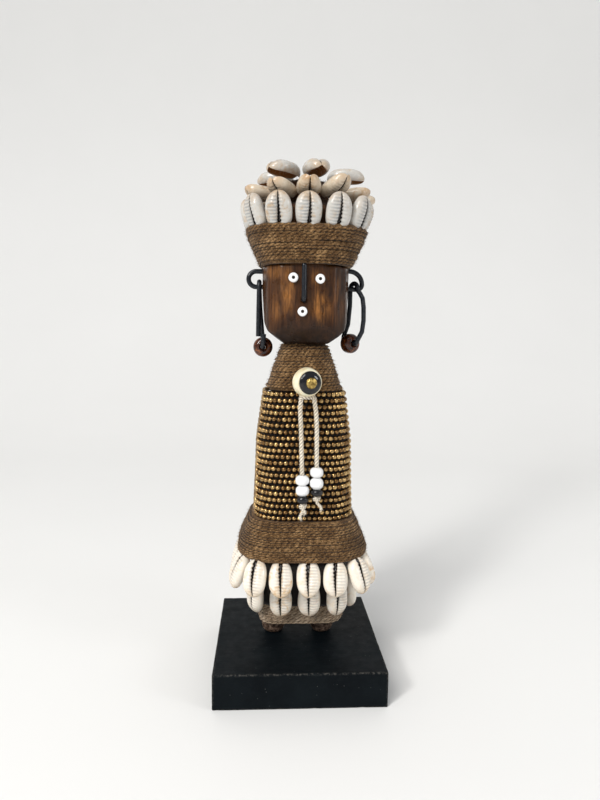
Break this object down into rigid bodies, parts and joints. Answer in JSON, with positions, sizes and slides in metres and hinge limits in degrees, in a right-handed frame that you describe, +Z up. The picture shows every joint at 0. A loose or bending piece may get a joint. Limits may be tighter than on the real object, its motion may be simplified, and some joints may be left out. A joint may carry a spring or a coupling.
{
  "type": "carved doll figurine",
  "caption": "Carved wooden fertility doll wrapped in twine and seed beads, with cowrie crown and skirt, wire earrings and a corded pendant, on a square plinth.",
  "frame": {"origin": "centre of the plinth's underside, on the surface the doll stands on", "axes": "+Z up along the doll, -Y is the way its face looks, +X to the right of someone facing it"},
  "size_m": [0.09, 0.09, 0.2785],
  "materials": {
    "black_paint": "black painted wood, matte, slightly worn edges",
    "steel_pin": "plain",
    "carved_wood": "dark stained, polished, tool facets",
    "pale_twine": "pale brown plied twine",
    "brown_twine": "brown plied twine, matte",
    "black_cloth": "black cloth",
    "fibre_pad": "dark fibre",
    "cowrie_shell": "glossy natural shell",
    "bronze_bead": "metallic bronze glass seed bead",
    "white_glass": "glossy opaque glass bead",
    "black_glass": "glossy opaque glass bead",
    "dark_pin": "dark iron brad",
    "black_wire": "glossy black coated wire",
    "amber_bead": "translucent brown amber-like resin",
    "bone": "polished bone",
    "black_disc": "glossy black disc",
    "brass_tack": "worn brass",
    "cotton_cord": "cream cotton cord"
  },
  "bodies": {
    "doll": {"plinth": "black_paint", "foot_pins": "steel_pin", "carved_figure": "carved_wood", "leg_wrap": "pale_twine", "skirt_cloth": "black_cloth", "skirt_cowries_lower": "cowrie_shell", "skirt_cowries_upper": "cowrie_shell", "hip_wrap": "brown_twine", "torso_cloth": "black_cloth", "bead_strings_1": "bronze_bead", "bead_strings_2": "bronze_bead", "bead_strings_3": "bronze_bead", "bead_strings_4": "bronze_bead", "bead_strings_5": "bronze_bead", "bead_strings_6": "bronze_bead", "bead_strings_7": "bronze_bead", "neck_wrap": "brown_twine", "head_band": "brown_twine", "crown_pad": "fibre_pad", "crown_cowries_lower": "cowrie_shell", "crown_cowries_middle": "cowrie_shell", "crown_cowries_top": "cowrie_shell", "left_eye_bead": "white_glass", "right_eye_bead": "white_glass", "mouth_bead": "white_glass", "face_pins": "dark_pin", "nose_wire": "black_wire", "left_ear_loop": "black_wire", "right_ear_loop": "black_wire", "pendant_bead": "bone", "pendant_disc": "black_disc", "pendant_tack": "brass_tack", "cord_hitch": "cotton_cord"},
    "left_earring": {"left_earring_wire": "black_wire"},
    "left_earring_bead": {"left_earring_bead": "amber_bead"},
    "right_earring": {"right_earring_wire": "black_wire"},
    "right_earring_bead": {"right_earring_bead": "amber_bead"},
    "left_strand": {"left_cord": "cotton_cord", "left_knot": "cotton_cord"},
    "left_strand_beads": {"left_white_bead_upper": "white_glass", "left_white_bead_lower": "white_glass", "left_black_bead": "black_glass"},
    "right_strand": {"right_cord": "cotton_cord", "right_knot": "cotton_cord"},
    "right_strand_beads": {"right_white_bead_upper": "white_glass", "right_white_bead_lower": "white_glass", "right_black_bead": "black_glass"}
  },
  "joints": [
    {"name": "left_earring_swing", "type": "hinge", "parent": "doll", "child": "left_earring", "pos_m": [-0.0231, 0, 0.2153], "axis": [1, 0, 0], "range_deg": [-20, 20]},
    {"name": "left_bead_turn", "type": "hinge", "parent": "left_earring", "child": "left_earring_bead", "pos_m": [-0.0208, 0, 0.1829], "axis": [0, -1, 0], "continuous": true},
    {"name": "right_earring_swing", "type": "hinge", "parent": "doll", "child": "right_earring", "pos_m": [0.0287, 0, 0.2149], "axis": [1, 0, 0], "range_deg": [-20, 20]},
    {"name": "right_bead_turn", "type": "hinge", "parent": "right_earring", "child": "right_earring_bead", "pos_m": [0.0272, 0, 0.1854], "axis": [0.5, -0.866, 0], "continuous": true},
    {"name": "left_strand_swing", "type": "hinge", "parent": "doll", "child": "left_strand", "pos_m": [-0.0009, -0.023, 0.1576], "axis": [-1, 0, 0], "range_deg": [0, 60]},
    {"name": "left_beads_slide", "type": "slide", "parent": "left_strand", "child": "left_strand_beads", "axis": [-0.0332, 0.0665, 0.9972], "range_m": [0, 0.02]},
    {"name": "right_strand_swing", "type": "hinge", "parent": "doll", "child": "right_strand", "pos_m": [0.0061, -0.023, 0.1576], "axis": [-1, 0, 0], "range_deg": [0, 60]},
    {"name": "right_beads_slide", "type": "slide", "parent": "right_strand", "child": "right_strand_beads", "axis": [-0.0116, 0.0665, 0.9977], "range_m": [0, 0.015]}
  ]
}
